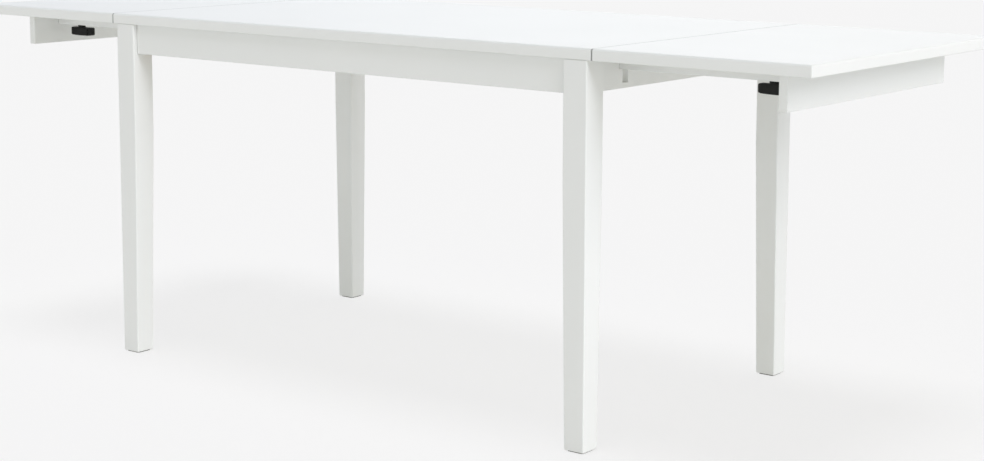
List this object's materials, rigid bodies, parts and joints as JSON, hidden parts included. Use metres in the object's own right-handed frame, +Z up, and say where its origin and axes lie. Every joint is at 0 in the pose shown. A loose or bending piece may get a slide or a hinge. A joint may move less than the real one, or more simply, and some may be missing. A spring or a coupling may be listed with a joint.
{
  "type": "extending dining table",
  "caption": "Rectangular dining table on tapered square legs, with pull-out bearer frames and loose end leaves locked from below by turning levers.",
  "frame": {"origin": "on the floor under the middle of the table, which is the centre of the bottom of its bounding box", "axes": "+X along the length, -Y towards the front, +Z up; both frames pulled out and both leaves fitted"},
  "size_m": [2.1636, 0.7444, 0.75],
  "materials": {
    "white_lacquer": "smooth satin white lacquer on wood board",
    "bare_wood": "planed pine, unfinished, out of sight",
    "black_plastic": "fine-grained moulded black plastic",
    "zinc_steel": "bright zinc plate",
    "brass": "plain turned brass"
  },
  "bodies": {
    "table": {"back_apron": "white_lacquer", "centre_rail": "bare_wood", "front_apron": "white_lacquer", "left_back_corner_block": "bare_wood", "left_back_flange_nut": "zinc_steel", "left_back_foot_glide": "black_plastic", "left_back_guide": "bare_wood", "left_back_hanger_bolt": "zinc_steel", "left_back_leg": "white_lacquer", "left_back_top_bracket": "zinc_steel", "left_end_apron": "white_lacquer", "left_front_corner_block": "bare_wood", "left_front_flange_nut": "zinc_steel", "left_front_foot_glide": "black_plastic", "left_front_guide": "bare_wood", "left_front_hanger_bolt": "zinc_steel", "left_front_leg": "white_lacquer", "left_front_top_bracket": "zinc_steel", "main_top": "white_lacquer", "right_back_corner_block": "bare_wood", "right_back_flange_nut": "zinc_steel", "right_back_foot_glide": "black_plastic", "right_back_guide": "bare_wood", "right_back_hanger_bolt": "zinc_steel", "right_back_leg": "white_lacquer", "right_back_top_bracket": "zinc_steel", "right_end_apron": "white_lacquer", "right_front_corner_block": "bare_wood", "right_front_flange_nut": "zinc_steel", "right_front_foot_glide": "black_plastic", "right_front_guide": "bare_wood", "right_front_hanger_bolt": "zinc_steel", "right_front_leg": "white_lacquer", "right_front_top_bracket": "zinc_steel"},
    "left_frame": {"left_end_board": "white_lacquer", "left_tie_bar": "white_lacquer", "left_front_bearer": "white_lacquer", "left_back_bearer": "white_lacquer"},
    "left_leaf": {"left_leaf": "white_lacquer", "left_front_leaf_socket": "brass", "left_back_leaf_socket": "brass"},
    "left_front_knob": {"left_front_knob": "black_plastic", "left_front_knob_stem": "zinc_steel"},
    "left_back_knob": {"left_back_knob": "black_plastic", "left_back_knob_stem": "zinc_steel"},
    "right_frame": {"right_end_board": "white_lacquer", "right_tie_bar": "white_lacquer", "right_front_bearer": "white_lacquer", "right_back_bearer": "white_lacquer"},
    "right_leaf": {"right_leaf": "white_lacquer", "right_front_leaf_socket": "brass", "right_back_leaf_socket": "brass"},
    "right_front_knob": {"right_front_knob": "black_plastic", "right_front_knob_stem": "zinc_steel"},
    "right_back_knob": {"right_back_knob": "black_plastic", "right_back_knob_stem": "zinc_steel"}
  },
  "joints": [
    {"name": "left_frame_slide", "type": "slide", "parent": "table", "child": "left_frame", "axis": [1, 0, 0], "range_m": [0, 0.374]},
    {"name": "right_frame_slide", "type": "slide", "parent": "table", "child": "right_frame", "axis": [-1, 0, 0], "range_m": [0, 0.374]},
    {"name": "left_leaf_lift_off", "type": "slide", "parent": "table", "child": "left_leaf", "axis": [0, 0, 1], "range_m": [0, 0.25]},
    {"name": "right_leaf_lift_off", "type": "slide", "parent": "table", "child": "right_leaf", "axis": [0, 0, 1], "range_m": [0, 0.25]},
    {"name": "left_front_knob_turn", "type": "hinge", "parent": "left_frame", "child": "left_front_knob", "pos_m": [-0.9245, -0.2195, 0.688], "axis": [0, 0, -1], "range_deg": [0, 90]},
    {"name": "left_back_knob_turn", "type": "hinge", "parent": "left_frame", "child": "left_back_knob", "pos_m": [-0.9245, 0.2195, 0.688], "axis": [0, 0, 1], "range_deg": [0, 90]},
    {"name": "right_front_knob_turn", "type": "hinge", "parent": "right_frame", "child": "right_front_knob", "pos_m": [0.9245, -0.2195, 0.688], "axis": [0, 0, -1], "range_deg": [0, 90]},
    {"name": "right_back_knob_turn", "type": "hinge", "parent": "right_frame", "child": "right_back_knob", "pos_m": [0.9245, 0.2195, 0.688], "axis": [0, 0, 1], "range_deg": [0, 90]}
  ]
}
